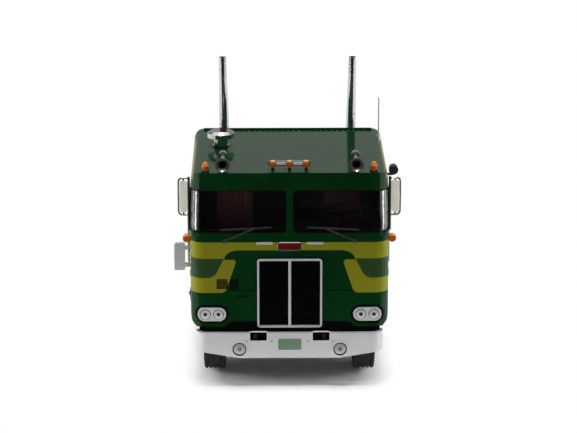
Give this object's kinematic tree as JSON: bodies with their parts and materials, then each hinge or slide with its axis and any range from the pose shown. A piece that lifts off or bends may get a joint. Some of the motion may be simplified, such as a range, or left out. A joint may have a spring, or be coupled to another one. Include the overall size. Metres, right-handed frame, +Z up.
{
  "type": "die-cast scale model of a cab-over sleeper tractor unit",
  "caption": "Small-scale model of a flat-faced cab-over sleeper tractor with hollow glazed cab, ladder frame, twin stacks, fuel tanks, coupling plate and free-rolling wheelsets.",
  "frame": {"origin": "on the ground under the middle of the overall box", "axes": "-Y is the truck's front, +Y its tail, +X its left (driver's) side, +Z up"},
  "size_m": [0.0631, 0.143, 0.081],
  "materials": {
    "green_paint": "gloss enamel with yellow and olive stripes",
    "clear_glass": "clear moulding",
    "plated": "bright plating",
    "silver": "satin silver",
    "black_plastic": "matte",
    "frame_black": "satin black",
    "trim_red": "matte",
    "amber_lens": "clear gloss",
    "red_lens": "clear gloss",
    "clear_lens": "clear moulding",
    "steel": "bright drawn wire",
    "tyre_rubber": "matte"
  },
  "bodies": {
    "truck": {"cab_shell": "green_paint", "cab_glazing": "clear_glass", "cab_floor": "black_plastic", "dashboard": "black_plastic", "seats": "trim_red", "steering_wheel": "black_plastic", "grille_frame": "plated", "grille_louvres": "black_plastic", "front_bumper": "silver", "bumper_lamps": "plated", "headlamp_bezels": "plated", "headlamp_lenses": "clear_lens", "marker_lamps": "amber_lens", "marker_bar": "plated", "air_horns": "plated", "roof_intake": "plated", "aerial": "steel", "mirrors": "plated", "lower_mirror": "plated", "spot_lamp": "black_plastic", "turn_signals": "amber_lens", "wipers": "steel", "grab_rails": "plated", "frame_rail_left": "frame_black", "frame_rail_right": "frame_black", "cross_members": "frame_black", "tail_member": "frame_black", "engine_block": "frame_black", "drive_shafts": "frame_black", "front_axle_beam": "frame_black", "front_springs": "frame_black", "drive_axle_housings": "frame_black", "rear_springs": "frame_black", "fuel_tank_left": "plated", "fuel_tank_right": "plated", "tank_brackets": "plated", "air_tanks": "frame_black", "exhaust_left": "plated", "exhaust_right": "plated", "exhaust_shelf": "frame_black", "deck_plate": "silver", "fifth_wheel": "frame_black", "fifth_wheel_base": "frame_black", "mud_flaps": "black_plastic", "tail_lamps": "red_lens"},
    "front_wheelset": {"front_axle_pin": "steel", "front_wheels": "plated", "front_tyres": "tyre_rubber"},
    "first_drive_wheelset": {"first_drive_axle_pin": "steel", "first_drive_wheels": "plated", "first_drive_tyres": "tyre_rubber"},
    "second_drive_wheelset": {"second_drive_axle_pin": "steel", "second_drive_wheels": "plated", "second_drive_tyres": "tyre_rubber"}
  },
  "joints": [
    {"name": "front_roll", "type": "hinge", "parent": "truck", "child": "front_wheelset", "pos_m": [0, -0.0545, 0.012], "axis": [1, 0, 0], "continuous": true},
    {"name": "first_drive_roll", "type": "hinge", "parent": "truck", "child": "first_drive_wheelset", "pos_m": [0, 0.02225, 0.012], "axis": [1, 0, 0], "continuous": true},
    {"name": "second_drive_roll", "type": "hinge", "parent": "truck", "child": "second_drive_wheelset", "pos_m": [0, 0.05275, 0.012], "axis": [1, 0, 0], "continuous": true}
  ]
}
